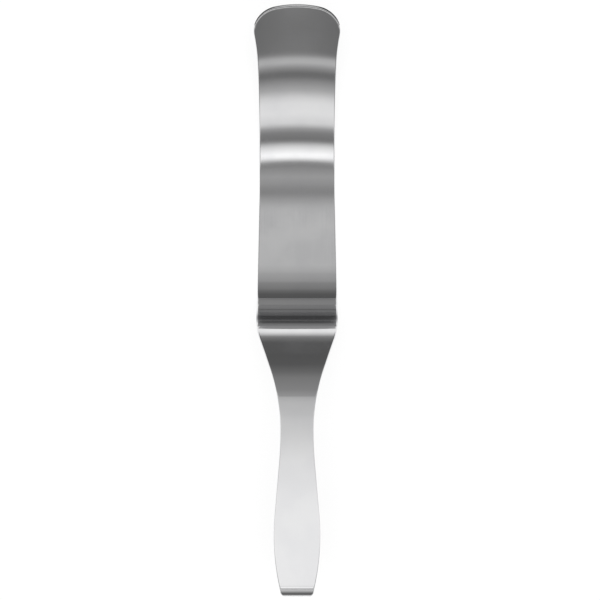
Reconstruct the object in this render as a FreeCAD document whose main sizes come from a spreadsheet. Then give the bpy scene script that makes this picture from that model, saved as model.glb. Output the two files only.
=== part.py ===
import FreeCAD, Part
import math
import os
import re
import Sketcher

# Handheld surgical retractor, bent from one strip of polished steel.
# X is the width, +Y points to the toe of the blade and +Z up. The flat stretch
# of the blade lies on Z = 0, with the origin at its middle. The toe and the step
# up to the grip rise to the same side, and the hook at the grip's end turns back.

# Driving dimensions: lengths in millimetres, angles in degrees.
# Bend radii in the side view are those of the strip's back face.
SIZES = [
    ("strip_thickness", 2.2, "thickness of the steel"),
    ("edge_round", 0.6, "rounding of every edge"),
    ("flat_length", 31.6, "straight stretch that the blade lies on"),
    ("sweep_radius", 116.0, "easy bend that begins the toe"),
    ("sweep_turn", 8.0, "turn of the easy bend"),
    ("toe_radius", 81.0, "main bend of the toe"),
    ("toe_turn", 12.0, "turn of the main bend"),
    ("lip_radius", 134.0, "easy bend up to the lip"),
    ("lip_turn", 15.0, "turn of the bend up to the lip"),
    ("lip_length", 23.5, "straight lip up to its crown"),
    ("heel_radius", 21.0, "tight bend at the heel of the blade"),
    ("heel_angle", 75.5, "steepest slope of the step"),
    ("crest_radius", 22.5, "bend back out of the step"),
    ("ramp_angle", 37.5, "slope of the ramp above the step"),
    ("ramp_length", 11.2, "straight ramp above the step"),
    ("brow_radius", 40.5, "bend that levels the ramp into the grip"),
    ("grip_length", 71.9, "level grip up to the hook"),
    ("hook_radius", 3.2, "bend of the hook at the grip's end"),
    ("hook_turn", 60.0, "downward turn of the hook"),
    ("hook_corner", 2.0, "rounding of the hook's two corners"),
    ("neck_width", 32.9, "narrowest width of the blade"),
    ("neck_run", 7.0, "parallel sides between the sweep's end and the widening"),
    ("flare_rise", 2.2, "how far the lip flares out on each side"),
    ("flare_ease", 1000.0, "large radius that begins the flare"),
    ("flare_radius", 120.0, "radius that ends the flare"),
    ("flare_angle", 9.0, "slope of the side where the flare ends"),
    ("corner_radius", 11.8, "rounded corners of the lip"),
    ("crown_radius", 45.0, "crown of the lip between its corners"),
    ("heel_rise", 1.2, "how far the heel is wider on each side"),
    ("blade_ease", 400.0, "radius that begins the widening to the heel"),
    ("shoulder_radius", 26.0, "rounded shoulder where the taper begins"),
    ("taper_angle", 19.8, "slope of the side along the taper"),
    ("hollow_radius", 77.0, "hollow that ends the taper"),
    ("waist_width", 14.25, "narrowest width, between taper and grip"),
    ("waist_radius", 164.0, "hollow that begins the grip"),
    ("swell_angle", 4.9, "slope of the side where the grip widens"),
    ("grip_rise", 2.85, "how far the grip is wider on each side"),
    ("grip_radius", 102.0, "bulge of the grip"),
]

SHEET_NAME = "Sizes"
ALIASES = [alias for alias, _, _ in SIZES]

# The strip's bends from the origin to the toe, and from the origin to the hook:
# a straight run with its length, or an arc with its radius and turn. A turn is
# positive where the strip rises more steeply.
TOE_BENDS = [
    ("run", "flat_length / 2"),
    ("arc", "sweep_radius", "sweep_turn"),
    ("arc", "toe_radius", "toe_turn"),
    ("arc", "lip_radius", "lip_turn"),
    ("run", "lip_length"),
]
HANDLE_BENDS = [
    ("run", "flat_length / 2"),
    ("arc", "heel_radius", "heel_angle"),
    ("arc", "crest_radius", "ramp_angle - heel_angle"),
    ("run", "ramp_length"),
    ("arc", "brow_radius", "-ramp_angle"),
    ("run", "grip_length"),
    ("arc", "hook_radius", "-hook_turn"),
]
LIP_SLOPE = "(sweep_turn + toe_turn + lip_turn)"
NECK_HALF = "neck_width / 2"
HEEL_HALF = "(neck_width / 2 + heel_rise)"
FLARE_HALF = "(neck_width / 2 + flare_rise)"
WAIST_HALF = "waist_width / 2"
GRIP_HALF = "(waist_width / 2 + grip_rise)"
BLANK_HALF = "(neck_width / 2 + max(flare_rise; heel_rise) + 2 * strip_thickness)"

# A sketch numbers a curve's points from 1 and its own axes down from -1
START, END, CENTRE = range(1, 4)
X_AXIS, Y_AXIS = range(-1, -3, -1)


def make_sheet(doc):
    sheet = doc.addObject("Spreadsheet::Sheet", SHEET_NAME)
    for row, (alias, value, note) in enumerate(SIZES, start=1):
        sheet.set("A%d" % row, alias)
        sheet.set("B%d" % row, str(value))
        sheet.set("C%d" % row, note)
        sheet.setAlias("B%d" % row, alias)
    doc.recompute()
    return sheet


def from_sheet(formula):
    # Points each size's name in a formula at its cell
    names = r"\b(%s)\b" % "|".join(ALIASES)
    return re.sub(names, SHEET_NAME + r".\1", formula)


def reach(bends, slope):
    # How far a line of bends carries in the direction of a slope, as a formula
    terms = []
    left = slope
    for kind, size, *turn in bends:
        if kind == "run":
            terms.append("%s * cos(%s)" % (size, left))
        else:
            after = "%s - (%s)" % (left, turn[0])
            terms.append("(%s) * (sin(%s) - sin(%s)) * abs(%s) / (%s)"
                         % (size, left, after, turn[0], turn[0]))
            left = after
    return " + ".join(terms)


class Drawing:
    # A sketch whose sizes are tied to the sheet
    def __init__(self, body, name, role):
        self.sketch = body.newObject("Sketcher::SketchObject", name)
        plane = [feature for feature in body.Origin.OriginFeatures if feature.Role == role][0]
        self.sketch.AttachmentSupport = [(plane, "")]
        self.sketch.MapMode = "FlatFace"

    def value(self, formula):
        return float(self.sketch.evalExpression(from_sheet(formula)))

    def fix(self, kind, *places):
        self.sketch.addConstraint(Sketcher.Constraint(kind, *places))

    def bind(self, kind, places, formula):
        value = self.value(formula)
        if kind == "Angle":
            value = math.radians(value)
        index = self.sketch.addConstraint(Sketcher.Constraint(kind, *places, value))
        self.sketch.setExpression("Constraints[%d]" % index, from_sheet(formula))

    def line(self, x, y, x2, y2):
        ends = (FreeCAD.Vector(x, y, 0), FreeCAD.Vector(x2, y2, 0))
        return self.sketch.addGeometry(Part.LineSegment(*ends))

    def path(self, x, y, heading, runs):
        # A chain of straight runs and arcs with no corner between them. A run is
        # (length, None) or (radius, turn), a turn to the left being positive.
        # Gives back each run's index in the sketch, with its first and last end.
        pieces = []
        for size, turn in runs:
            if turn is None:
                x2 = x + size * math.cos(heading)
                y2 = y + size * math.sin(heading)
                index = self.line(x, y, x2, y2)
                ends = (START, END)
            else:
                side = math.copysign(1.0, turn)
                centre = FreeCAD.Vector(x - side * size * math.sin(heading),
                                        y + side * size * math.cos(heading), 0)
                angles = [heading - side * math.pi / 2, heading - side * math.pi / 2 + turn]
                circle = Part.Circle(centre, FreeCAD.Vector(0, 0, 1), size)
                index = self.sketch.addGeometry(Part.ArcOfCircle(circle, min(angles), max(angles)))
                ends = (START, END) if turn > 0 else (END, START)
                x2 = centre.x + size * math.cos(angles[1])
                y2 = centre.y + size * math.sin(angles[1])
                heading += turn
            if pieces:
                self.fix("Tangent", pieces[-1][0], pieces[-1][2], index, ends[0])
            pieces.append((index,) + ends)
            x, y = x2, y2
        return pieces

    def enclose(self, first, last):
        # Joins the two ends of a side line by straight lines outside the strip
        begin = self.sketch.getPoint(*first)
        finish = self.sketch.getPoint(*last)
        far = self.value(BLANK_HALF)
        out = self.line(begin.x, begin.y, far, begin.y)
        along = self.line(far, begin.y, far, finish.y)
        back = self.line(far, finish.y, finish.x, finish.y)
        self.fix("Coincident", out, START, *first)
        self.fix("Coincident", out, END, along, START)
        self.fix("Coincident", along, END, back, START)
        self.fix("Coincident", back, END, *last)
        self.fix("Horizontal", out)
        self.fix("Vertical", along)
        self.fix("Horizontal", back)
        self.bind("DistanceX", (X_AXIS, START, along, START), BLANK_HALF)


def draw_section(body):
    # Cross-section of the blank strip at the origin
    drawing = Drawing(body, "strip_section", "XZ_Plane")
    half = drawing.value(BLANK_HALF)
    top = drawing.value("strip_thickness")
    corners = [(-half, 0.0), (half, 0.0), (half, top), (-half, top)]
    for number, corner in enumerate(corners):
        drawing.line(*corner, *corners[(number + 1) % 4])
    for number in range(4):
        drawing.fix("Coincident", number, END, (number + 1) % 4, START)
    bottom, right, upper, left = range(4)
    drawing.fix("Vertical", right)
    drawing.fix("Vertical", left)
    drawing.fix("Horizontal", upper)
    drawing.fix("Symmetric", bottom, START, bottom, END, X_AXIS, START)
    drawing.bind("DistanceX", (X_AXIS, START, bottom, END), BLANK_HALF)
    drawing.bind("DistanceY", (right, START, right, END), "strip_thickness")
    return drawing.sketch


def draw_bends(body, name, bends, direction):
    # Side view of the strip's back face, outwards from the origin
    drawing = Drawing(body, name, "YZ_Plane")
    runs = []
    for kind, size, *turn in bends:
        angle = direction * math.radians(drawing.value(turn[0])) if turn else None
        runs.append((drawing.value(size), angle))
    pieces = drawing.path(0.0, 0.0, 0.0 if direction > 0 else math.pi, runs)
    first = pieces[0][0]
    drawing.fix("Coincident", first, START, X_AXIS, START)
    drawing.fix("Horizontal", first)
    for (index, _, _), (kind, size, *turn) in zip(pieces, bends):
        if kind == "run":
            drawing.bind("Distance", (index,), size)
        else:
            drawing.bind("Radius", (index,), size)
            drawing.bind("Angle", (index,), "abs(%s)" % turn[0])
    return drawing.sketch


def bend_strip(body, name, section, bends_sketch):
    pipe = body.newObject("PartDesign::AdditivePipe", name)
    pipe.Profile = section
    edges = ["Edge%d" % number for number in range(1, len(bends_sketch.Shape.Edges) + 1)]
    pipe.Spine = (bends_sketch, edges)
    body.Document.recompute()
    return pipe


def draw_side(body):
    # Right-hand side of the strip from the blade's neck to the hook, seen from above
    drawing = Drawing(body, "side_outline", "XY_Plane")
    size = drawing.value
    neck_top = reach(TOE_BENDS[:2], "0") + " + strip_thickness"
    steepest = reach(HANDLE_BENDS[:2], "0")
    strip_end = reach(HANDLE_BENDS, "0") + " + strip_thickness"

    # The widening to the heel, the taper and the swell of the grip each need the
    # length of the straight side between their two arcs
    widening = size(steepest + " + " + reach(TOE_BENDS[:2], "0") + " - neck_run")
    blade_arcs = size("blade_ease + shoulder_radius")
    blade_slope = (widening - math.sqrt(widening ** 2 - 2 * blade_arcs * size("heel_rise"))) / blade_arcs
    blade_run = widening - blade_arcs * blade_slope
    taper = math.radians(size("taper_angle"))
    taper_fall = size(HEEL_HALF + " - " + WAIST_HALF)
    taper_run = (taper_fall - size("shoulder_radius + hollow_radius") * (1 - math.cos(taper))) / math.sin(taper)
    swell = math.radians(size("swell_angle"))
    swell_run = (size("grip_rise") - size("waist_radius + grip_radius") * (1 - math.cos(swell))) / math.sin(swell)
    runs = [
        (size("neck_run + strip_thickness"), None),
        (size("blade_ease"), blade_slope),
        (blade_run, None),
        (size("shoulder_radius"), -blade_slope),
        (size("shoulder_radius"), -taper),
        (taper_run, None),
        (size("hollow_radius"), taper),
        (size("waist_radius"), swell),
        (swell_run, None),
        (size("grip_radius"), -swell),
        (size("grip_radius"), -3 * swell),
    ]
    pieces = drawing.path(size(NECK_HALF), size(neck_top), -math.pi / 2, runs)
    neck, blade_arc, _, heel_arc, shoulder, _, hollow, waist, _, bulge, bulge_end = pieces
    drawing.fix("Vertical", neck[0])
    drawing.bind("Distance", (neck[0],), "neck_run + strip_thickness")
    drawing.bind("DistanceX", (X_AXIS, START, neck[0], START), NECK_HALF)
    drawing.bind("DistanceY", (X_AXIS, START, neck[0], START), neck_top)
    drawing.bind("Radius", (blade_arc[0],), "blade_ease")
    drawing.bind("Radius", (heel_arc[0],), "shoulder_radius")
    drawing.fix("Horizontal", heel_arc[0], CENTRE, heel_arc[0], heel_arc[2])
    drawing.bind("DistanceX", (X_AXIS, START, heel_arc[0], heel_arc[2]), HEEL_HALF)
    drawing.bind("DistanceY", (heel_arc[0], heel_arc[2], X_AXIS, START), steepest)
    for piece, radius, angle in (
        (shoulder, "shoulder_radius", "taper_angle"),
        (hollow, "hollow_radius", "taper_angle"),
        (waist, "waist_radius", "swell_angle"),
        (bulge, "grip_radius", "swell_angle"),
    ):
        drawing.bind("Radius", (piece[0],), radius)
        drawing.bind("Angle", (piece[0],), angle)
    drawing.bind("DistanceX", (X_AXIS, START, hollow[0], hollow[2]), WAIST_HALF)
    drawing.bind("DistanceX", (X_AXIS, START, bulge[0], bulge[2]), GRIP_HALF)
    drawing.bind("Radius", (bulge_end[0],), "grip_radius")
    drawing.bind("DistanceY", (bulge_end[0], bulge_end[2], X_AXIS, START), strip_end)
    drawing.enclose((neck[0], START), (bulge_end[0], bulge_end[2]))
    return drawing.sketch


def draw_toe(body):
    # Right-hand side of the toe, drawn in the plane of the straight lip
    drawing = Drawing(body, "toe_outline", "XY_Plane")
    size = drawing.value
    tilt = FreeCAD.Rotation(FreeCAD.Vector(1, 0, 0), size(LIP_SLOPE))
    drawing.sketch.AttachmentOffset = FreeCAD.Placement(FreeCAD.Vector(0, 0, 0), tilt)
    drawing.sketch.setExpression("AttachmentOffset.Rotation.Angle", from_sheet(LIP_SLOPE))
    neck_start = reach(TOE_BENDS[:2], LIP_SLOPE)
    apex = reach(TOE_BENDS, LIP_SLOPE)
    beyond = "2 * strip_thickness"

    # The flare starts with its large radius, and its two turns make up its slope
    flare = math.radians(size("flare_angle"))
    arcs_rise = size("flare_rise - corner_radius * (1 - cos(flare_angle))")
    arcs_rise -= size("flare_radius * (1 - cos(flare_angle))")
    ease = math.sqrt(max(0.0, 2 * arcs_rise / size("flare_ease - flare_radius")))
    crown_side = size(FLARE_HALF + " - corner_radius") / size("crown_radius - corner_radius")
    crown = math.asin(crown_side)
    flare_height = size("flare_ease") * math.sin(ease)
    flare_height += size("flare_radius") * (math.sin(flare) - math.sin(ease))
    flare_height += size("corner_radius") * (math.sin(flare) + math.cos(crown))
    flare_height += size("crown_radius") * (1 - math.cos(crown))
    runs = [
        (size(apex) - size(neck_start) - flare_height, None),
        (size("flare_ease"), -ease),
        (size("flare_radius"), ease - flare),
        (size("corner_radius"), flare),
        (size("corner_radius"), math.pi / 2 - crown),
        (size("crown_radius"), crown),
    ]
    pieces = drawing.path(size(NECK_HALF), size(neck_start), math.pi / 2, runs)
    neck, ease_arc, flare_arc, widest, corner, crown_arc = pieces
    drawing.fix("Vertical", neck[0])
    drawing.bind("DistanceX", (X_AXIS, START, neck[0], START), NECK_HALF)
    drawing.bind("DistanceY", (X_AXIS, START, neck[0], START), neck_start)
    for piece, radius in (
        (ease_arc, "flare_ease"),
        (flare_arc, "flare_radius"),
        (widest, "corner_radius"),
        (corner, "corner_radius"),
        (crown_arc, "crown_radius"),
    ):
        drawing.bind("Radius", (piece[0],), radius)
    drawing.bind("Angle", (widest[0],), "flare_angle")
    drawing.fix("Horizontal", widest[0], CENTRE, widest[0], widest[2])
    drawing.bind("DistanceX", (X_AXIS, START, widest[0], widest[2]), FLARE_HALF)
    drawing.fix("PointOnObject", crown_arc[0], CENTRE, Y_AXIS)
    drawing.fix("PointOnObject", crown_arc[0], crown_arc[2], Y_AXIS)
    drawing.bind("DistanceY", (X_AXIS, START, crown_arc[0], crown_arc[2]), apex)
    tip = size(apex)
    above = drawing.line(0.0, tip, 0.0, tip + size(beyond))
    drawing.fix("Coincident", above, START, crown_arc[0], crown_arc[2])
    drawing.fix("Vertical", above)
    drawing.bind("Distance", (above,), beyond)
    drawing.enclose((neck[0], START), (above, END))
    return drawing.sketch


def cut_through(body, name, sketch):
    pocket = body.newObject("PartDesign::Pocket", name)
    pocket.Profile = sketch
    pocket.Type = "ThroughAll"
    pocket.Midplane = True
    body.Document.recompute()
    return pocket


def is_wall(face, thickness):
    # The narrow faces round the strip, a thickness wide
    return 2 * face.Area / face.Length < thickness


def hook_corner_edges(shape, thickness):
    walls = [face for face in shape.Faces if is_wall(face, thickness)]
    end_face = min(walls, key=lambda face: face.CenterOfMass.y)
    names = []
    for number, edge in enumerate(shape.Edges, start=1):
        on_end = any(edge.isSame(other) for other in end_face.Edges)
        if on_end and edge.Length < 2 * thickness:
            names.append("Edge%d" % number)
    return names


def rim_edges(shape, thickness):
    # Edges where a wall meets the front or back of the strip
    names = []
    for number, edge in enumerate(shape.Edges, start=1):
        sides = [is_wall(face, thickness) for face in shape.ancestorsOfType(edge, Part.Face)]
        if len(sides) == 2 and sides[0] != sides[1]:
            names.append("Edge%d" % number)
    return names


def round_edges(body, name, base, edges, radius):
    fillet = body.newObject("PartDesign::Fillet", name)
    fillet.Base = (base, edges)
    fillet.Radius = float(fillet.evalExpression(from_sheet(radius)))
    fillet.setExpression("Radius", from_sheet(radius))
    body.Document.recompute()
    return fillet


def make_retractor(doc):
    body = doc.addObject("PartDesign::Body", "retractor")
    body.Label = "retractor"
    section = draw_section(body)
    # The blank runs on past the crown, which is then cut to its outline
    blank_toe = TOE_BENDS[:-1] + [("run", "lip_length + strip_thickness")]
    toe_bends = draw_bends(body, "toe_bends", blank_toe, 1)
    handle_bends = draw_bends(body, "handle_bends", HANDLE_BENDS, -1)
    doc.recompute()
    bend_strip(body, "toe_strip", section, toe_bends)
    bend_strip(body, "handle_strip", section, handle_bends)
    side_cut = cut_through(body, "side_cut", draw_side(body))
    toe_cut = cut_through(body, "toe_cut", draw_toe(body))
    mirrored = body.newObject("PartDesign::Mirrored", "both_sides")
    mirrored.Originals = [side_cut, toe_cut]
    mirrored.MirrorPlane = ([f for f in body.Origin.OriginFeatures if f.Role == "YZ_Plane"][0], [""])
    body.Tip = mirrored
    doc.recompute()
    thickness = float(body.evalExpression(from_sheet("strip_thickness")))
    corners = hook_corner_edges(mirrored.Shape, thickness)
    hook = round_edges(body, "hook_corners", mirrored, corners, "hook_corner")
    rim = rim_edges(hook.Shape, thickness)
    body.Tip = round_edges(body, "rounded_edges", hook, rim, "edge_round")
    doc.recompute()
    return body


def check(doc, bodies):
    for item in doc.Objects:
        if "Invalid" in item.State or "Error" in item.State:
            raise RuntimeError("%s: %s" % (item.Label, item.State))
    for body in bodies:
        if body.Shape.isNull() or not body.Shape.isValid():
            raise RuntimeError("%s has no valid shape" % body.Label)


doc = FreeCAD.newDocument("retractor")
make_sheet(doc)
bodies = [make_retractor(doc)]
check(doc, bodies)
os.makedirs("parts", exist_ok=True)
for body in bodies:
    body.Shape.exportStep("parts/%s.step" % body.Label)
    box = body.Shape.BoundBox
    centre = body.Shape.CenterOfGravity
    print("%s: solids %d, volume %.1f mm3" % (body.Label, len(body.Shape.Solids), body.Shape.Volume))
    print("  X %.2f to %.2f, Y %.2f to %.2f, Z %.2f to %.2f"
          % (box.XMin, box.XMax, box.YMin, box.YMax, box.ZMin, box.ZMax))
    print("  centre of mass %.2f, %.2f, %.2f" % tuple(centre))
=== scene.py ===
import bpy
import math
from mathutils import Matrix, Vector


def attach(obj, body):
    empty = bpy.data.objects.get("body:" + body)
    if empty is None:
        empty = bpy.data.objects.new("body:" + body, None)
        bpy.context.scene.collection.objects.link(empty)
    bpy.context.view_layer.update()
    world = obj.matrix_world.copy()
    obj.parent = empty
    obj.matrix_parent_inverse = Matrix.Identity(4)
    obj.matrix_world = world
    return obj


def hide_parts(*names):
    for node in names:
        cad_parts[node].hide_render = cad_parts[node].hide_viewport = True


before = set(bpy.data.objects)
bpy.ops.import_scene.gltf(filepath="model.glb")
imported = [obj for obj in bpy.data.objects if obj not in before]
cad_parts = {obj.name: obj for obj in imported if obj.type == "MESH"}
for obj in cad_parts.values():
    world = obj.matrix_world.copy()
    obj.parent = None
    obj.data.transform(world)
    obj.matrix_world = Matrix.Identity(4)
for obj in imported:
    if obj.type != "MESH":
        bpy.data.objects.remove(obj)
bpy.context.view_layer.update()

mm = 0.001
arcStep = 4     # most degrees of an arc between two drawn points


# helpers

def deselectAll():
    if bpy.context.object and bpy.context.object.mode != "OBJECT":
        bpy.ops.object.mode_set(mode="OBJECT")
    bpy.ops.object.select_all(action="DESELECT")


def makeActive(piece):
    deselectAll()
    piece.select_set(True)
    bpy.context.view_layer.objects.active = piece


def applyModifier(piece, kind, **settings):
    makeActive(piece)
    modifier = piece.modifiers.new(kind.lower(), kind)
    for name, value in settings.items():
        setattr(modifier, name, value)
    bpy.ops.object.modifier_apply(modifier=modifier.name)


def traceLine(x, y, heading, runs, step):
    # points of a side line: straight runs (length, None) and arcs (radius, turn)
    points = [(x, y)]
    for size, turn in runs:
        if turn is None:
            count = max(1, round(size / step))
            for _ in range(count):
                x += size / count * math.cos(heading)
                y += size / count * math.sin(heading)
                points.append((x, y))
        else:
            side = math.copysign(1.0, turn)
            centreX = x - side * size * math.sin(heading)
            centreY = y + side * size * math.cos(heading)
            count = max(1, round(size * abs(turn) / step), round(abs(turn) / math.radians(arcStep)))
            for number in range(1, count + 1):
                angle = heading - side * math.pi / 2 + turn * number / count
                points.append((centreX + size * math.cos(angle), centreY + size * math.sin(angle)))
            heading += turn
            x, y = points[-1]
    return points


def setInput(links, socket, value):
    # joins another node's output to the socket, or sets the socket to a number or colour
    if isinstance(value, bpy.types.NodeSocket):
        links.new(value, socket)
    else:
        socket.default_value = value


def calculate(nodes, links, operation, *values):
    node = nodes.new("ShaderNodeMath")
    node.operation = operation
    for place, value in enumerate(values):
        setInput(links, node.inputs[place], value)
    return node.outputs[0]


def spreadOut(nodes, links, value, low, high, kind="LINEAR"):
    # 0 at the low end, 1 at the high one
    node = nodes.new("ShaderNodeMapRange")
    node.interpolation_type = kind
    node.inputs["From Min"].default_value = low
    node.inputs["From Max"].default_value = high
    links.new(value, node.inputs["Value"])
    return node.outputs["Result"]


def mixColours(nodes, links, share, first, second):
    node = nodes.new("ShaderNodeMix")
    node.data_type = "RGBA"
    links.new(share, node.inputs["Factor"])
    setInput(links, node.inputs["A"], first)
    setInput(links, node.inputs["B"], second)
    return node.outputs["Result"]


def mixShaders(nodes, links, share, first, second):
    node = nodes.new("ShaderNodeMixShader")
    for place, output in enumerate((share, first, second)):
        links.new(output, node.inputs[place])
    return node.outputs[0]


def splitVector(nodes, links, vector):
    node = nodes.new("ShaderNodeSeparateXYZ")
    links.new(vector, node.inputs[0])
    return node.outputs


# the strip of steel, bent as the solid is: bends are those of its back face

strip = {
    "thickness": 2.2,
    "edgeRound": 0.6,
    "edgeSteps": 6,
    "edgeAngle": 50,        # corners sharper than this many degrees are rounded
    "sideInset": 0.02,      # keeps the sides and the hook's end just inside the solid
    "endInset": 0.02,
    # straight runs (length, None) and bends (radius, turn in degrees) from the origin
    "toeBends": [(15.8, None), (116, 8), (81, 12), (134, 15), (23.5, None)],
    "handleBends": [(15.8, None), (21, 75.5), (22.5, -38), (11.2, None), (40.5, -37.5),
                    (71.9, None), (3.2, -60)],
    # how far each way the shading runs one bend into the next, by place along the strip
    "ease": [(-152, 1), (-146, 2), (-24, 2), (-14, 3), (-6, 3), (6, 8), (18, 8), (28, 2)],
    "easeSteps": 4,
    # degrees by which the polish bows the flats, by place along the strip
    "bow": [(-63, 0), (-60.5, -0.5), (-58.5, -0.2), (-57, 0.8), (-55.5, 1.6), (-53, 1.0), (-48, 0),
            (-20, 0), (-14, -0.7), (4, 0), (76, 0), (97, 0.6)],
    # how strongly the heel is hollowed between its sides, by place along the strip
    "cup": [(-55, 0), (-51, 0.0016), (-42, 0.0016), (-34, 0.001), (-18, 0.001), (-10, 0)],
    "neckHalf": 16.45, "neckRun": 7.0,
    "flareRise": 2.2, "flareEase": 1000, "flareRadius": 120, "flareAngle": 9,
    "cornerRadius": 11.8, "crownRadius": 45,
    "heelRise": 1.2, "bladeEase": 400, "shoulderRadius": 26,
    "taperAngle": 19.8, "hollowRadius": 77,
    "waistHalf": 7.125, "waistRadius": 164, "swellAngle": 4.9,
    "gripRise": 2.85, "gripRadius": 102, "gripTurnIn": 20,
    "hookCorner": 2.0, "hookCornerSteps": 8, "hookNarrowing": 0.25,
    "dishDepth": 0.8,       # how far the middle of the lip lies below its sides
    "dishStart": 30.0,      # where along the toe the dish begins
    "outlineStep": 1.2,
    "rowStep": 1.0,
    "bendStep": 1.5,        # degrees of bend between two rows
    "columns": (0, 4, 8, 12, 15),
}


def stripAt(along):
    # point and slope of the back face at a length along the strip
    side = 1 if along >= 0 else -1
    left = abs(along)
    y, z, slope = 0.0, 0.0, 0.0
    for size, turn in strip["toeBends" if side > 0 else "handleBends"]:
        if turn is None:
            length = min(left, size)
            y += length * math.cos(slope)
            z += length * math.sin(slope)
        else:
            length = min(left, size * math.radians(abs(turn)))
            sign = math.copysign(1, turn)
            after = slope + sign * length / size
            y += sign * size * (math.sin(after) - math.sin(slope))
            z += sign * size * (math.cos(slope) - math.cos(after))
            slope = after
        left -= length
        if left <= 1e-9:
            break
    y += left * math.cos(slope)
    z += left * math.sin(slope)
    return side * y, z, side * slope


def valueAt(stops, place):
    # value between the stops (place, value), level beyond the first and the last
    for (low, lowValue), (high, highValue) in zip(stops, stops[1:]):
        if place <= high:
            return lowValue + max(0.0, (place - low) / (high - low)) * (highValue - lowValue)
    return stops[-1][1]


easedSlopes = {}


def easedSlope(along):
    # slope for shading, kept because whole rows share one place
    key = round(along, 3)
    if key not in easedSlopes:
        reach = valueAt(strip["ease"], along)
        steps = strip["easeSteps"]
        slopes = [stripAt(along + reach * step / steps)[2] for step in range(-steps, steps + 1)]
        eased = sum(slopes) / len(slopes)
        easedSlopes[key] = eased + math.radians(valueAt(strip["bow"], along))
    return easedSlopes[key]


def bendLength(bends):
    return sum(size if turn is None else size * math.radians(abs(turn)) for size, turn in bends)


def middleAt(along):
    # middle of the strip's thickness
    y, z, slope = stripAt(along)
    half = strip["thickness"] / 2
    return y - half * math.sin(slope), z + half * math.cos(slope), slope


def alongWhere(measure, wanted, low, high):
    # length along the strip at which a rising measure reaches a value
    for _ in range(50):
        middle = (low + high) / 2
        if measure(middle) < wanted:
            low = middle
        else:
            high = middle
    return (low + high) / 2


def blankOutline():
    # right-hand side of the strip as (width, length along), from the crown to the hook
    s = strip
    step = s["outlineStep"]
    toeEnd = bendLength(s["toeBends"])
    handleEnd = -bendLength(s["handleBends"]) + s["endInset"]
    lipSlope = math.radians(sum(turn for size, turn in s["toeBends"] if turn))

    def lipHeight(along):
        y, z, _ = middleAt(along)
        return y * math.cos(lipSlope) + z * math.sin(lipSlope)

    # the toe is drawn in the plane of the straight lip
    flare = math.radians(s["flareAngle"])
    lipHalf = s["neckHalf"] + s["flareRise"]
    crown = math.asin((lipHalf - s["cornerRadius"]) / (s["crownRadius"] - s["cornerRadius"]))
    rise = s["flareRise"] - (s["cornerRadius"] + s["flareRadius"]) * (1 - math.cos(flare))
    ease = math.acos(1 - rise / (s["flareEase"] - s["flareRadius"]))
    toeRuns = [
        (s["crownRadius"], -crown),
        (s["cornerRadius"], crown - math.pi / 2),
        (s["cornerRadius"], -flare),
        (s["flareRadius"], flare - ease),
        (s["flareEase"], ease),
    ]
    sweepEnd = s["toeBends"][0][0] + s["toeBends"][1][0] * math.radians(s["toeBends"][1][1])
    points = []
    for x, height in traceLine(0.0, lipHeight(toeEnd), 0.0, toeRuns, step):
        if height < lipHeight(sweepEnd):
            break
        points.append((x, alongWhere(lipHeight, height, 0.0, toeEnd)))

    # the rest is drawn as seen from above
    def reach(along):
        return middleAt(along)[0]

    flatLength = s["handleBends"][0][0]
    heelRadius, heelTurn = s["handleBends"][1]
    steepest = -flatLength - heelRadius * math.sin(math.radians(heelTurn))
    neckEnd = reach(sweepEnd) - s["neckRun"]
    widening = neckEnd - steepest
    arcs = s["bladeEase"] + s["shoulderRadius"]
    bladeSlope = (widening - math.sqrt(widening ** 2 - 2 * arcs * s["heelRise"])) / arcs
    taper = math.radians(s["taperAngle"])
    taperFall = s["neckHalf"] + s["heelRise"] - s["waistHalf"]
    taperFall -= (s["shoulderRadius"] + s["hollowRadius"]) * (1 - math.cos(taper))
    swell = math.radians(s["swellAngle"])
    swellRise = s["gripRise"] - (s["waistRadius"] + s["gripRadius"]) * (1 - math.cos(swell))
    sideRuns = [
        (s["bladeEase"], bladeSlope),
        (widening - arcs * bladeSlope, None),
        (s["shoulderRadius"], -bladeSlope),
        (s["shoulderRadius"], -taper),
        (taperFall / math.sin(taper), None),
        (s["hollowRadius"], taper),
        (s["waistRadius"], swell),
        (swellRise / math.sin(swell), None),
        (s["gripRadius"], -swell),
        (s["gripRadius"], -math.radians(s["gripTurnIn"])),
    ]
    corner = s["hookCorner"]
    for x, y in traceLine(s["neckHalf"], neckEnd, -math.pi / 2, sideRuns, step):
        along = alongWhere(reach, y, handleEnd, toeEnd)
        if along < handleEnd + corner:
            break
        points.append((x, along))
    endX = points[-1][0] - s["hookNarrowing"]
    for number in range(s["hookCornerSteps"] + 1):
        angle = math.radians(90 * number / s["hookCornerSteps"])
        points.append((endX - corner * (1 - math.cos(angle)),
                       handleEnd + corner * (1 - math.sin(angle))))
    return [(max(0.0, x - s["sideInset"]), along) for x, along in points]


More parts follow.
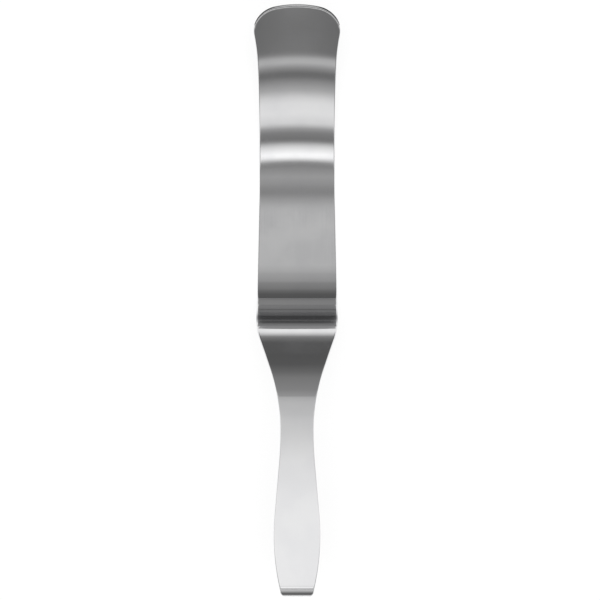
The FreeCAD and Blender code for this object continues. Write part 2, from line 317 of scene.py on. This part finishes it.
def makeBlank():
    # the flat blank: an outline plate with rounded edges, cut into rows and columns
    right = blankOutline()
    left = [(-x, along) for x, along in reversed(right) if x > 1e-6]
    outline = right + left
    deselectAll()
    bpy.ops.mesh.primitive_circle_add(vertices=len(outline), radius=1, fill_type="NGON")
    blank = bpy.context.object
    blank.name = blank.data.name = "polishedStrip"
    for vertex, (x, along) in zip(blank.data.vertices, outline):
        vertex.co = (x * mm, along * mm, 0)
    bpy.ops.object.mode_set(mode="EDIT")
    bpy.ops.mesh.select_all(action="SELECT")
    bpy.ops.mesh.normals_make_consistent(inside=False)
    upwards = (0, 0, strip["thickness"] * mm)
    bpy.ops.mesh.extrude_region_move(TRANSFORM_OT_translate={"value": upwards})
    bpy.ops.mesh.select_all(action="SELECT")
    bpy.ops.mesh.normals_make_consistent(inside=False)
    bpy.ops.object.mode_set(mode="OBJECT")
    applyModifier(blank, "BEVEL", width=strip["edgeRound"] * mm, segments=strip["edgeSteps"],
                  limit_method="ANGLE", angle_limit=math.radians(strip["edgeAngle"]),
                  use_clamp_overlap=False)
    return blank


def rowPlaces():
    # lengths along the strip where it is cut into rows: closer together in the bends
    places = [0.0]
    for side, bends in ((1, strip["toeBends"]), (-1, strip["handleBends"])):
        start = 0.0
        for size, turn in bends:
            length = size if turn is None else size * math.radians(abs(turn))
            count = math.ceil(length / strip["rowStep"])
            if turn is not None:
                count = max(count, math.ceil(abs(turn) / strip["bendStep"]))
            places += [side * (start + length * number / count) for number in range(1, count + 1)]
            start += length
    return sorted(places)[1:-1]


def cutRows(blank):
    makeActive(blank)
    bpy.ops.object.mode_set(mode="EDIT")
    for place in rowPlaces():
        bpy.ops.mesh.select_all(action="SELECT")
        bpy.ops.mesh.bisect(plane_co=(0, place * mm, 0), plane_no=(0, 1, 0))
    for column in strip["columns"]:
        for side in ((1,) if column == 0 else (1, -1)):
            bpy.ops.mesh.select_all(action="SELECT")
            bpy.ops.mesh.bisect(plane_co=(side * column * mm, 0, 0), plane_no=(1, 0, 0))
    bpy.ops.mesh.select_all(action="DESELECT")
    bpy.ops.object.mode_set(mode="OBJECT")


def dishAt(x, along):
    # depth of the lip's shallow dish, with its slopes across and along
    toeEnd = bendLength(strip["toeBends"])
    grown = max(0.0, along - strip["dishStart"]) / (toeEnd - strip["dishStart"])
    scale = strip["dishDepth"] / (strip["neckHalf"] + strip["flareRise"]) ** 2
    growth = 1 / (toeEnd - strip["dishStart"]) if along > strip["dishStart"] else 0.0
    cup = valueAt(strip["cup"], along)
    return scale * grown * x * x, (2 * scale * grown + cup) * x, scale * growth * x * x


def roundedNormal(outward, height):
    # normal of the blank: straight up or down on its faces, turning evenly round its edge
    edge = strip["edgeRound"]
    if height < edge:
        rise = max(-1.0, (height - edge) / edge)
    else:
        rise = min(1.0, max(0.0, (height - strip["thickness"] + edge) / edge))
    flat = Vector((outward.x, outward.y, 0))
    if flat.length < 1e-4 or abs(rise) > 0.999:     # a point of the upper or lower face
        return Vector((0, 0, math.copysign(1.0, rise or outward.z)))
    return flat.normalized() * math.sqrt(1 - rise * rise) + Vector((0, 0, rise))


def bendBlank(blank):
    # moves every point of the flat blank to its place on the bent strip
    mesh = blank.data
    outwards = [vertex.normal.copy() for vertex in mesh.vertices]   # before anything moves
    normals = []
    for vertex, outward in zip(mesh.vertices, outwards):
        x, along, height = (value / mm for value in vertex.co)
        normal = roundedNormal(outward, height)
        depth, across, lengthways = dishAt(x, along)
        normal = Vector((normal.x - across * normal.z, normal.y - lengthways * normal.z, normal.z))
        normal.normalize()
        y, z, slope = stripAt(along)
        lift = height + depth
        vertex.co = (x * mm, (y - lift * math.sin(slope)) * mm, (z + lift * math.cos(slope)) * mm)
        slope = easedSlope(along)
        normals.append((normal.x,
                        normal.y * math.cos(slope) - normal.z * math.sin(slope),
                        normal.y * math.sin(slope) + normal.z * math.cos(slope)))
    for polygon in mesh.polygons:
        polygon.use_smooth = True
    mesh.normals_split_custom_set_from_vertices(normals)


polishedStrip = makeBlank()
cutRows(polishedStrip)
bendBlank(polishedStrip)
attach(polishedStrip, "root")
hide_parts("retractor")
print("strip made,", len(polishedStrip.data.polygons), "faces")


# steel

steelLook = {
    "colour": (0.805, 0.805, 0.81),
    "hazeColour": (0.775, 0.775, 0.785),
    "roughness": 0.045,
    "hazeRoughness": 0.03,      # added where the polish is cloudier
    "lineRoughness": 0.03,      # added in the fine polishing lines
    "linesPerMetre": 5000,
    "lineStretch": (1, 0.008, 0.2),     # lines run along the strip
    "lineDetail": 4,
    "lineGrain": 0.65,
    "lineContrast": (0.42, 0.72),
    "hazePerMetre": 70,
    "hazeDetail": 3,
    "hazeContrast": (0.35, 0.7),
    "lineHeight": 0.0000015,
    "lineStrength": 0.05,
    # painted shade: the inside corner above the heel, on its upper face, is darkened in its colour
    # and also made rougher
    "cornerPlace": -35.3,
    "cornerReach": 3.6,
    "cornerShadeColour": (0.30, 0.30, 0.31),
    "cornerRoughness": 0.10,
}


def makePolishMarks():
    # fine lines along the strip and a faint cloudiness, both as values from 0 to 1
    look = steelLook
    group = bpy.data.node_groups.new("polishMarks", "ShaderNodeTree")
    group.interface.new_socket("Vector", in_out="INPUT", socket_type="NodeSocketVector")
    group.interface.new_socket("Lines", in_out="OUTPUT", socket_type="NodeSocketFloat")
    group.interface.new_socket("Haze", in_out="OUTPUT", socket_type="NodeSocketFloat")
    nodes, links = group.nodes, group.links
    entry = nodes.new("NodeGroupInput")
    leave = nodes.new("NodeGroupOutput")
    stretch = nodes.new("ShaderNodeMapping")
    stretch.inputs["Scale"].default_value = look["lineStretch"]
    links.new(entry.outputs["Vector"], stretch.inputs["Vector"])
    lines = nodes.new("ShaderNodeTexNoise")
    lines.inputs["Scale"].default_value = look["linesPerMetre"]
    lines.inputs["Detail"].default_value = look["lineDetail"]
    lines.inputs["Roughness"].default_value = look["lineGrain"]
    links.new(stretch.outputs["Vector"], lines.inputs["Vector"])
    clearLines = spreadOut(nodes, links, lines.outputs[0], *look["lineContrast"], "SMOOTHSTEP")
    links.new(clearLines, leave.inputs["Lines"])
    haze = nodes.new("ShaderNodeTexNoise")
    haze.inputs["Scale"].default_value = look["hazePerMetre"]
    haze.inputs["Detail"].default_value = look["hazeDetail"]
    links.new(entry.outputs["Vector"], haze.inputs["Vector"])
    clearHaze = spreadOut(nodes, links, haze.outputs[0], *look["hazeContrast"], "SMOOTHSTEP")
    links.new(clearHaze, leave.inputs["Haze"])
    return group


def makeCornerShadeMask():
    # 1 in the inside corner above the heel, on upper faces, where shade is painted into the colour,
    # and 0 elsewhere
    look = steelLook
    group = bpy.data.node_groups.new("insideCornerShade", "ShaderNodeTree")
    group.interface.new_socket("Vector", in_out="INPUT", socket_type="NodeSocketVector")
    group.interface.new_socket("Normal", in_out="INPUT", socket_type="NodeSocketVector")
    group.interface.new_socket("Mask", in_out="OUTPUT", socket_type="NodeSocketFloat")
    nodes, links = group.nodes, group.links
    entry = nodes.new("NodeGroupInput")
    leave = nodes.new("NodeGroupOutput")
    place = splitVector(nodes, links, entry.outputs["Vector"])["Y"]
    away = calculate(nodes, links, "SUBTRACT", place, look["cornerPlace"] * mm)
    distance = calculate(nodes, links, "ABSOLUTE", away)
    near = spreadOut(nodes, links, distance, look["cornerReach"] * mm, 0, "SMOOTHSTEP")
    facing = splitVector(nodes, links, entry.outputs["Normal"])["Z"]
    upper = calculate(nodes, links, "GREATER_THAN", facing, 0)
    links.new(calculate(nodes, links, "MULTIPLY", near, upper), leave.inputs["Mask"])
    return group


def makeSteel():
    look = steelLook
    material = bpy.data.materials.new("polishedSteel")
    material.use_nodes = True
    nodes, links = material.node_tree.nodes, material.node_tree.links
    shader = nodes["Principled BSDF"]
    shader.inputs["Metallic"].default_value = 1
    coordinates = nodes.new("ShaderNodeTexCoord")
    marks = nodes.new("ShaderNodeGroup")
    marks.node_tree = makePolishMarks()
    links.new(coordinates.outputs["Object"], marks.inputs["Vector"])
    colour = mixColours(nodes, links, marks.outputs["Haze"],
                        (*look["colour"], 1), (*look["hazeColour"], 1))
    corner = nodes.new("ShaderNodeGroup")
    corner.node_tree = makeCornerShadeMask()
    links.new(coordinates.outputs["Object"], corner.inputs["Vector"])
    links.new(coordinates.outputs["Normal"], corner.inputs["Normal"])
    # painted shade: the base colour turns dark grey in the inside corner above the heel
    cornerShaded = mixColours(nodes, links, corner.outputs["Mask"], colour, (*look["cornerShadeColour"], 1))
    links.new(cornerShaded, shader.inputs["Base Color"])
    rough = look["roughness"]
    for source, added in ((marks.outputs["Haze"], look["hazeRoughness"]),
                          (marks.outputs["Lines"], look["lineRoughness"]),
                          (corner.outputs["Mask"], look["cornerRoughness"])):
        rough = calculate(nodes, links, "MULTIPLY_ADD", source, added, rough)
    links.new(rough, shader.inputs["Roughness"])
    bump = nodes.new("ShaderNodeBump")
    bump.inputs["Strength"].default_value = look["lineStrength"]
    bump.inputs["Distance"].default_value = look["lineHeight"]
    links.new(marks.outputs["Lines"], bump.inputs["Height"])
    links.new(bump.outputs["Normal"], shader.inputs["Normal"])
    return material


polishedStrip.data.materials.clear()
polishedStrip.data.materials.append(makeSteel())
print("steel ready")


# studio: pale floor, a light tent with darker bands and a panel over the grip

studio = {
    "floorSize": 14.0,
    "floorColour": (0.9, 0.9, 0.9),
    "whiteShare": 0.85,
    # brightness of the tent by its angle from straight up, towards the grip (-) and the toe (+)
    "tentGrip": [(-90, 0.25), (-70, 0.14), (-66.6, 0.19), (-65.8, 0.26), (-64.2, 0.48),
                 (-62.5, 0.53), (-60, 0.30), (-58, 0.17), (-56.5, 0.18), (-54.5, 0.30),
                 (-51, 0.47), (-48, 0.76), (-46, 0.87), (-42, 0.90), (-38.3, 0.78),
                 (-35.6, 0.38), (-33, 0.25), (-29, 0.20), (-27.6, 0.26), (-24.5, 0.75),
                 (-22, 1.0), (-19.5, 1.22), (-17.6, 1.16), (-14.6, 0.32), (-13, 0.26),
                 (-8, 0.39), (-5, 0.34), (-2, 0.26), (-0.8, 0.36), (0, 0.42)],
    "tentToe": [(0, 0.42), (1.3, 0.61), (1.9, 0.52), (4, 0.48), (8, 0.41), (17, 0.37),
                (24, 0.34), (30, 0.27), (45, 0.22), (52, 0.16), (62, 0.11), (74.6, 0.10),
                (76, 0.26), (79, 0.82), (82, 0.97), (90, 0.95)],
    # the bands fade to one tone towards the sides of the tent
    "sideTone": 0.25,
    "sideFade": (0.65, 0.97),
    "panelHeight": 165.0,
    "panelWidth": 1600.0,
    # brightness of the panel by its place along the grip
    "panel": [(-195, 0.8), (-170, 0.98), (-150, 1.02), (-120, 0.98), (-103, 0.89), (-88, 0.71),
              (-75, 0.63), (-60, 0.60), (-40, 0.57), (-28, 0.52), (-20, 0.46)],
    # degrees by which its grid leans towards the toe, and the degrees to either side of that
    # at which the grid begins and ends cutting the light off
    "panelLean": 5,
    "panelGrid": (21, 24),
    # a card beyond the grip's end, with its brightness by height
    "endCardPlace": -195.0,
    "endCardWidth": 50.0,
    "endCard": [(40, 0.25), (54, 0.17), (61, 0.12), (69, 0.26), (77, 0.42), (98, 0.58), (122, 0.80)],
    # a small grey card over the blade, facing the heel, seen only at low angles
    "heelCardPlace": 10.0,
    "heelCardWidth": 44.0,
    "heelCard": [(2.4, 0.26), (11, 0.25), (14, 0.21)],
    "heelCardLean": 81,
    "heelCardGrid": (18, 21),
    # a dark card on the floor beyond the toe, with its brightness by place
    "toeCardHeight": 1.0,
    "toeCardWidth": 260.0,
    "toeCard": [(94, 0.03), (160, 0.05), (195, 0.9)],
    "lampStrength": 3.0,
    "lampSpread": 60,           # degrees
}


def bandsAlong(nodes, links, place, stops, unit):
    # grey tones by place, from stops (place, brightness) whose places are in the given unit
    low, high = stops[0][0], stops[-1][0]
    node = nodes.new("ShaderNodeValToRGB")
    ramp = node.color_ramp
    ramp.interpolation = "LINEAR"
    while len(ramp.elements) > 1:
        ramp.elements.remove(ramp.elements[-1])
    for number, (spot, value) in enumerate(stops):
        position = (spot - low) / (high - low)
        element = ramp.elements[0] if number == 0 else ramp.elements.new(position)
        element.position = position
        element.color = (value, value, value, 1)
    links.new(spreadOut(nodes, links, place, low * unit, high * unit), node.inputs[0])
    return node.outputs[0]


def makeTent():
    world = bpy.data.worlds.new("lightTent")
    bpy.context.scene.world = world
    world.use_nodes = True
    nodes, links = world.node_tree.nodes, world.node_tree.links
    nodes.clear()
    coordinates = nodes.new("ShaderNodeTexCoord")
    direction = splitVector(nodes, links, coordinates.outputs["Generated"])
    angle = calculate(nodes, links, "ARCTAN2", direction["Y"], direction["Z"])
    gripSide, toeSide = (
        bandsAlong(nodes, links, angle, stops, math.radians(1))
        for stops in (studio["tentGrip"], studio["tentToe"]))
    towardsToe = calculate(nodes, links, "GREATER_THAN", direction["Y"], 0)
    bands = mixColours(nodes, links, towardsToe, gripSide, toeSide)
    sideways = calculate(nodes, links, "ABSOLUTE", direction["X"])
    fade = spreadOut(nodes, links, sideways, *studio["sideFade"], "SMOOTHSTEP")
    tent = mixColours(nodes, links, fade, bands, (*[studio["sideTone"]] * 3, 1))
    # the camera sees plain white behind the floor
    path = nodes.new("ShaderNodeLightPath")
    seen = mixColours(nodes, links, path.outputs["Is Camera Ray"], tent, (1, 1, 1, 1))
    background = nodes.new("ShaderNodeBackground")
    output = nodes.new("ShaderNodeOutputWorld")
    links.new(seen, background.inputs["Color"])
    links.new(background.outputs[0], output.inputs[0])


def makeFloor():
    deselectAll()
    bpy.ops.mesh.primitive_plane_add(size=studio["floorSize"], location=(0, 0, 0))
    floor = bpy.context.object
    floor.name = "paleFloor"
    material = bpy.data.materials.new("paleFloorPaint")
    material.use_nodes = True
    nodes, links = material.node_tree.nodes, material.node_tree.links
    nodes.clear()
    paint = nodes.new("ShaderNodeBsdfDiffuse")
    paint.inputs["Color"].default_value = (*studio["floorColour"], 1)
    glow = nodes.new("ShaderNodeEmission")
    glow.inputs["Color"].default_value = (1, 1, 1, 1)
    # white to the eye and in reflections, but for a share that keeps the shadow
    path = nodes.new("ShaderNodeLightPath").outputs
    seen = calculate(nodes, links, "MAXIMUM", path["Is Camera Ray"], path["Is Glossy Ray"])
    seen = calculate(nodes, links, "MAXIMUM", seen, path["Is Transmission Ray"])
    share = calculate(nodes, links, "MULTIPLY", seen, studio["whiteShare"])
    output = nodes.new("ShaderNodeOutputMaterial")
    links.new(mixShaders(nodes, links, share, paint.outputs[0], glow.outputs[0]), output.inputs[0])
    floor.data.materials.append(material)


def makeSheet(name, width, spots, axis, stops, grid=None):
    # a glowing sheet that only polished things see
    # spots turns a corner's (across, along) into a place
    low, high = stops[0][0], stops[-1][0]
    deselectAll()
    bpy.ops.mesh.primitive_plane_add(size=1, location=(0, 0, 0))
    sheet = bpy.context.object
    sheet.name = name
    for vertex in sheet.data.vertices:
        along = low + (vertex.co.y + 0.5) * (high - low)
        vertex.co = Vector(spots(vertex.co.x * width, along)) * mm
    material = bpy.data.materials.new(name + "Glow")
    material.use_nodes = True
    nodes, links = material.node_tree.nodes, material.node_tree.links
    nodes.clear()
    coordinates = nodes.new("ShaderNodeTexCoord")
    place = splitVector(nodes, links, coordinates.outputs["Object"])[axis]
    glow = nodes.new("ShaderNodeEmission")
    links.new(bandsAlong(nodes, links, place, stops, mm), glow.inputs["Color"])
    output = nodes.new("ShaderNodeOutputMaterial")
    if grid:
        links.new(gridded(nodes, links, glow, *grid), output.inputs[0])
    else:
        links.new(glow.outputs[0], output.inputs[0])
    sheet.data.materials.append(material)
    sheet.visible_camera = False
    sheet.visible_shadow = False
    sheet.visible_diffuse = False


def gridded(nodes, links, glow, leanAngle, begins, ends):
    # slats across the sheet let its light out only near one angle, as seen from the side
    leaning = nodes.new("ShaderNodeCombineXYZ")
    leaning.inputs["Y"].default_value = math.cos(math.radians(leanAngle))
    leaning.inputs["Z"].default_value = -math.sin(math.radians(leanAngle))
    lean = nodes.new("ShaderNodeLayerWeight")
    links.new(leaning.outputs[0], lean.inputs["Normal"])
    slats = spreadOut(nodes, links, lean.outputs["Facing"], 1 - math.sin(math.radians(ends)),
                      1 - math.sin(math.radians(begins)), "SMOOTHSTEP")
    clear = nodes.new("ShaderNodeBsdfTransparent")
    return mixShaders(nodes, links, slats, clear.outputs[0], glow.outputs[0])


def makeLamp():
    # a wide soft lamp from above lights the floor and leaves the object's faint shadow on it
    deselectAll()
    bpy.ops.object.light_add(type="SUN", location=(0, 0, 3))
    lamp = bpy.context.object
    lamp.name = "softLamp"
    lamp.data.energy = studio["lampStrength"]
    lamp.data.angle = math.radians(studio["lampSpread"])
    lamp.visible_glossy = False


makeTent()
makeFloor()
makeSheet("gripPanel", studio["panelWidth"],
          lambda across, along: (across, along, studio["panelHeight"]),
          "Y", studio["panel"], (studio["panelLean"], *studio["panelGrid"]))
makeSheet("heelCard", studio["heelCardWidth"],
          lambda across, height: (across, studio["heelCardPlace"], height),
          "Z", studio["heelCard"], (studio["heelCardLean"], *studio["heelCardGrid"]))
makeSheet("toeCard", studio["toeCardWidth"],
          lambda across, along: (across, along, studio["toeCardHeight"]),
          "Y", studio["toeCard"])
makeSheet("endCard", studio["endCardWidth"],
          lambda across, height: (across, studio["endCardPlace"], height),
          "Z", studio["endCard"])
makeLamp()
print("studio ready")


# camera straight above, the toe at the top of the picture

cameraView = {
    "height": 1500.0,
    "pixel": 0.4375,       # millimetres on the floor for one pixel
    "imageWidth": 600,
    "centre": (1.27, -28.0),
    "sensor": 36.0,
    "reach": 50,           # metres that the camera sees
}


def makeCamera():
    data = bpy.data.cameras.new("aboveCamera")
    camera = bpy.data.objects.new("aboveCamera", data)
    bpy.context.scene.collection.objects.link(camera)
    x, y = cameraView["centre"]
    camera.location = (x * mm, y * mm, cameraView["height"] * mm)
    viewWidth = cameraView["pixel"] * cameraView["imageWidth"]
    data.sensor_width = cameraView["sensor"]
    data.lens = cameraView["sensor"] * cameraView["height"] / viewWidth
    data.clip_end = cameraView["reach"]
    bpy.context.scene.camera = camera
    bpy.context.scene.view_settings.view_transform = "Standard"


makeCamera()
print("camera ready")
